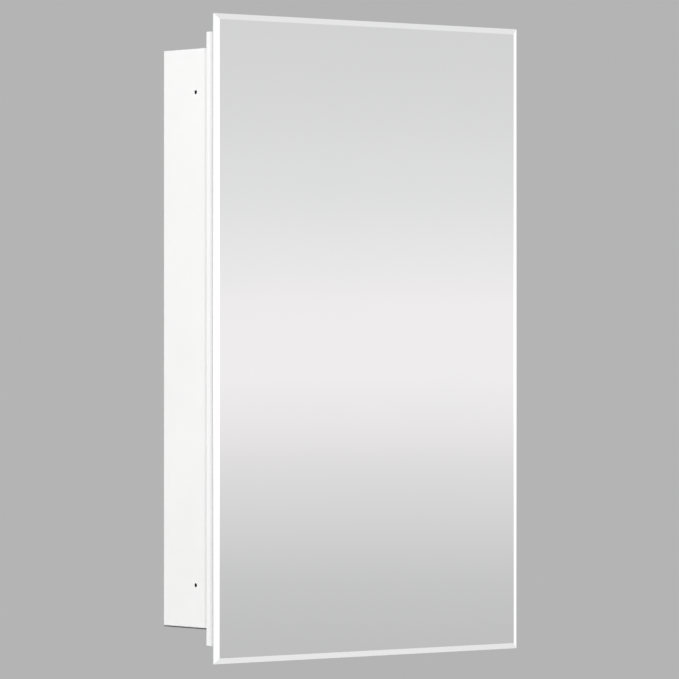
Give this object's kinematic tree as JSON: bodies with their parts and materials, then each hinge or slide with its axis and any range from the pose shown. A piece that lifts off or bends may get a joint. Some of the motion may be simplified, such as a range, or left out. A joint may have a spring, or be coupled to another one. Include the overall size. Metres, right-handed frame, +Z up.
{
  "type": "medicine cabinet with mirror",
  "caption": "Recessed white steel medicine cabinet with a frameless bevelled mirror door on a continuous hinge, glass shelves and a magnetic catch.",
  "frame": {"origin": "centre of the back panel's rear face", "axes": "+X to the right seen from the front, +Y into the wall, +Z up; the mirror faces -Y"},
  "size_m": [0.4064, 0.1289, 0.6604],
  "materials": {
    "white_enamel": "gloss white baked enamel on sheet steel",
    "mirror": "silvered float glass with a ground and polished bevel",
    "shelf_glass": "clear float glass with seamed edges",
    "zinc_clip": "bright zinc plate",
    "zinc_plate": "bright zinc plate",
    "bright_steel": "plain bright steel",
    "white_plastic": "moulded, satin",
    "ferrite": "dark sintered ferrite",
    "clear_rubber": "soft translucent rubber",
    "hardboard": "pressed fibreboard",
    "foam_tape": "closed-cell foam tape"
  },
  "bodies": {
    "cabinet": {"back_panel": "white_enamel", "left_side_panel": "white_enamel", "right_side_panel": "white_enamel", "top_panel": "white_enamel", "bottom_panel": "white_enamel", "rim_left_rail": "white_enamel", "rim_right_rail": "white_enamel", "rim_top_rail": "white_enamel", "rim_bottom_rail": "white_enamel", "shelf_track_left_front": "white_enamel", "shelf_track_left_rear": "white_enamel", "shelf_track_right_front": "white_enamel", "shelf_track_right_rear": "white_enamel", "shelf_lower": "shelf_glass", "shelf_middle": "shelf_glass", "shelf_upper": "shelf_glass", "shelf_clip_lower_left_front": "zinc_clip", "shelf_clip_lower_left_rear": "zinc_clip", "shelf_clip_lower_right_front": "zinc_clip", "shelf_clip_lower_right_rear": "zinc_clip", "shelf_clip_middle_left_front": "zinc_clip", "shelf_clip_middle_left_rear": "zinc_clip", "shelf_clip_middle_right_front": "zinc_clip", "shelf_clip_middle_right_rear": "zinc_clip", "shelf_clip_upper_left_front": "zinc_clip", "shelf_clip_upper_left_rear": "zinc_clip", "shelf_clip_upper_right_front": "zinc_clip", "shelf_clip_upper_right_rear": "zinc_clip", "hinge_leaf_cabinet": "zinc_plate", "hinge_pin": "bright_steel", "hinge_rivet_cabinet_1": "bright_steel", "hinge_rivet_cabinet_2": "bright_steel", "hinge_rivet_cabinet_3": "bright_steel", "hinge_rivet_cabinet_4": "bright_steel", "catch_housing": "white_plastic", "catch_magnet": "ferrite", "catch_pole_outer": "bright_steel", "catch_pole_inner": "bright_steel", "catch_screw_upper": "bright_steel", "catch_screw_lower": "bright_steel", "door_bumper_upper": "clear_rubber", "door_bumper_lower": "clear_rubber"},
    "door": {"door_pan": "white_enamel", "backing_board": "hardboard", "mounting_tape_left": "foam_tape", "mounting_tape_centre": "foam_tape", "mounting_tape_right": "foam_tape", "mirror_glass": "mirror", "hinge_leaf_door": "zinc_plate", "hinge_rivet_door_1": "bright_steel", "hinge_rivet_door_2": "bright_steel", "hinge_rivet_door_3": "bright_steel", "hinge_rivet_door_4": "bright_steel", "strike_plate": "zinc_plate", "strike_rivet_upper": "bright_steel", "strike_rivet_lower": "bright_steel"}
  },
  "joints": [
    {"name": "door_hinge", "type": "hinge", "parent": "cabinet", "child": "door", "pos_m": [0.1891, -0.1141, 0], "axis": [0, 0, 1], "range_deg": [0, 120]}
  ]
}
